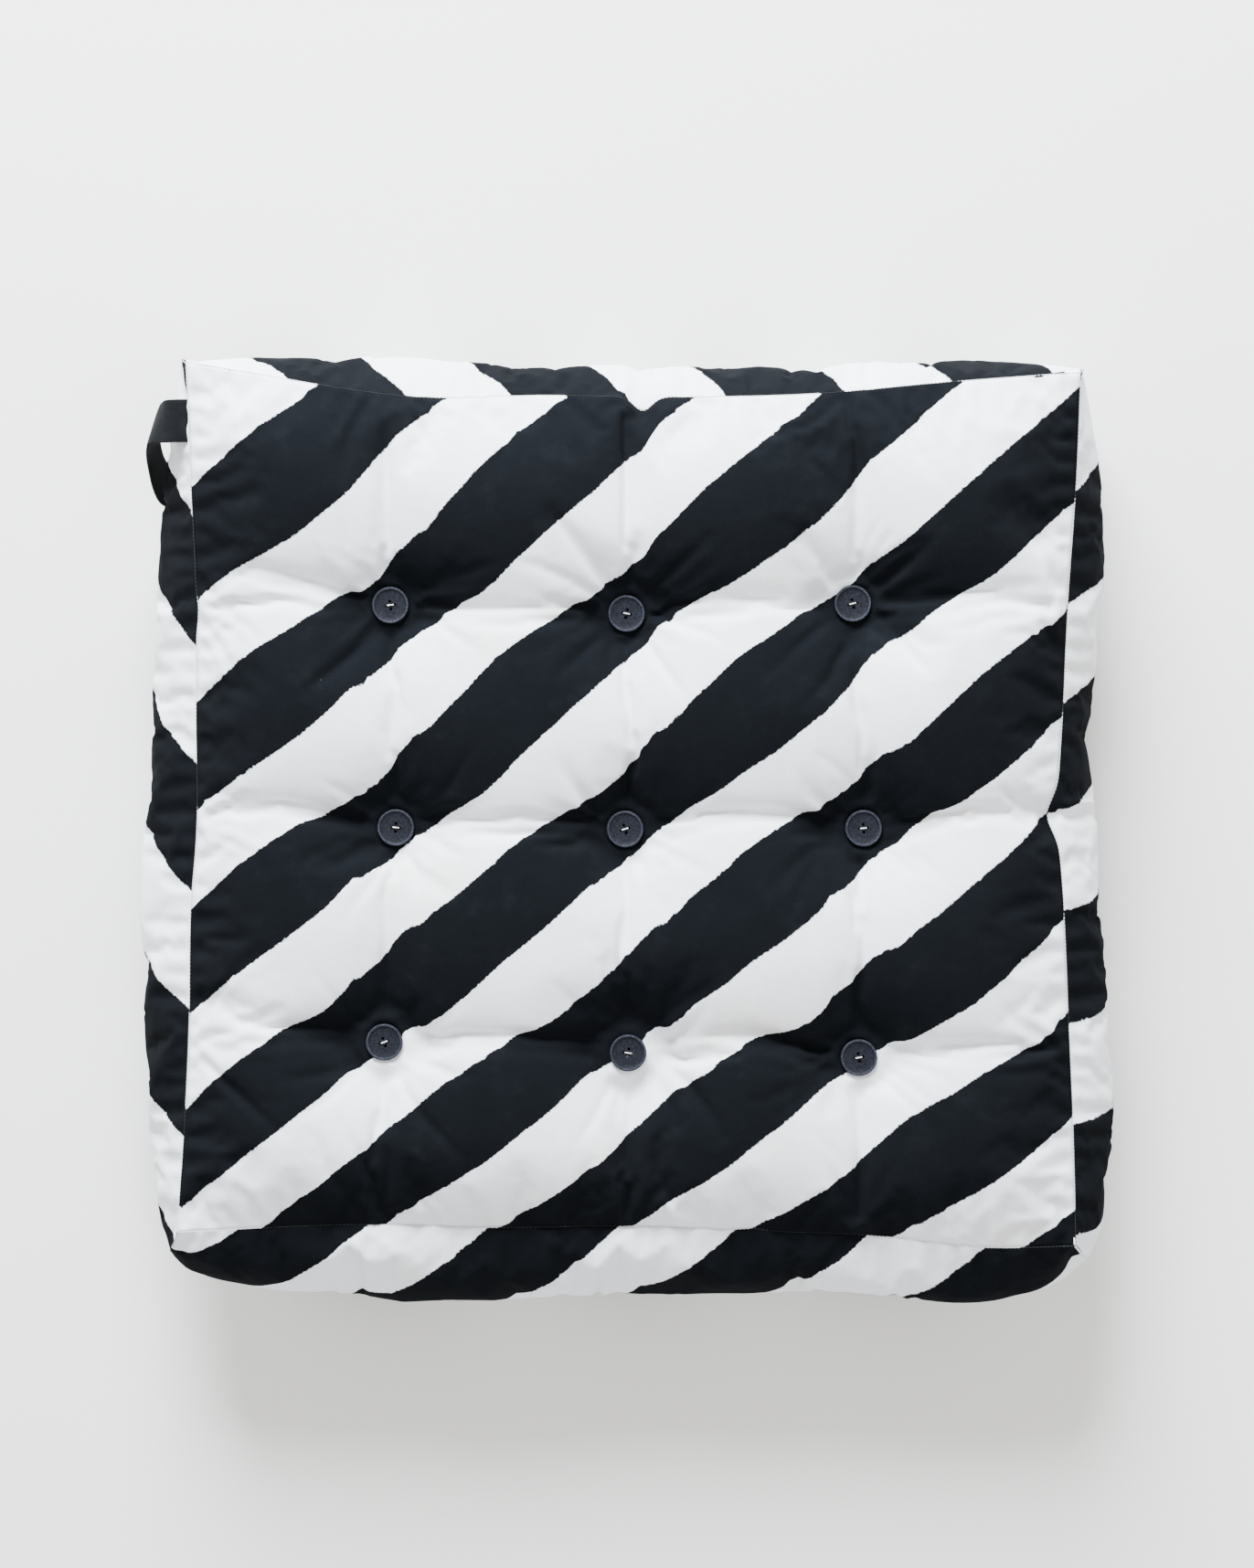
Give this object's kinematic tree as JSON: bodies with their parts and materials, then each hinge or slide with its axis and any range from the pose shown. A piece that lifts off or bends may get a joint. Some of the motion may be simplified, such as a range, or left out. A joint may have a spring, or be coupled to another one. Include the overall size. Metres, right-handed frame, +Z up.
{
  "type": "floor cushion",
  "caption": "Square, box-edged floor cushion in striped cotton, tufted through with two-sided buttons, with a carry strap sewn into the seams of one side.",
  "frame": {"origin": "on the floor, on the plane of the resting face, under the middle of the sewn top panel; the strap isn't counted", "axes": "+Z up out of the top face, +X to the right and +Y to the back as seen from above with the strap on the left; the strap is on the -X side near the back"},
  "size_m": [0.6561, 0.632, 0.135],
  "materials": {
    "cover_cloth": "matte",
    "seam_thread": "matte",
    "filling_fibre": "matte",
    "button": "matte",
    "tufting_twine": "matte",
    "strap_cloth": "matte"
  },
  "bodies": {
    "cushion": {"top_panel": "cover_cloth", "bottom_panel": "cover_cloth", "front_band": "cover_cloth", "right_band": "cover_cloth", "back_band": "cover_cloth", "left_band": "cover_cloth", "top_seam_stitching": "seam_thread", "bottom_seam_stitching": "seam_thread", "front_left_corner_stitching": "seam_thread", "front_right_corner_stitching": "seam_thread", "back_right_corner_stitching": "seam_thread", "back_left_corner_stitching": "seam_thread", "filling": "filling_fibre", "top_button_1": "button", "top_button_2": "button", "top_button_3": "button", "top_button_4": "button", "top_button_5": "button", "top_button_6": "button", "top_button_7": "button", "top_button_8": "button", "top_button_9": "button", "bottom_button_1": "button", "bottom_button_2": "button", "bottom_button_3": "button", "bottom_button_4": "button", "bottom_button_5": "button", "bottom_button_6": "button", "bottom_button_7": "button", "bottom_button_8": "button", "bottom_button_9": "button", "tufting_twine_1": "tufting_twine", "tufting_twine_2": "tufting_twine", "tufting_twine_3": "tufting_twine", "tufting_twine_4": "tufting_twine", "tufting_twine_5": "tufting_twine", "tufting_twine_6": "tufting_twine", "tufting_twine_7": "tufting_twine", "tufting_twine_8": "tufting_twine", "tufting_twine_9": "tufting_twine", "strap_top_end": "strap_cloth", "strap_bottom_end": "strap_cloth"},
    "handle": {"handle_strap": "strap_cloth"}
  },
  "joints": [
    {"name": "handle_swing", "type": "hinge", "parent": "cushion", "child": "handle", "pos_m": [-0.304, 0.252, 0.0675], "axis": [0, 0, 1], "range_deg": [-70, 25]}
  ]
}
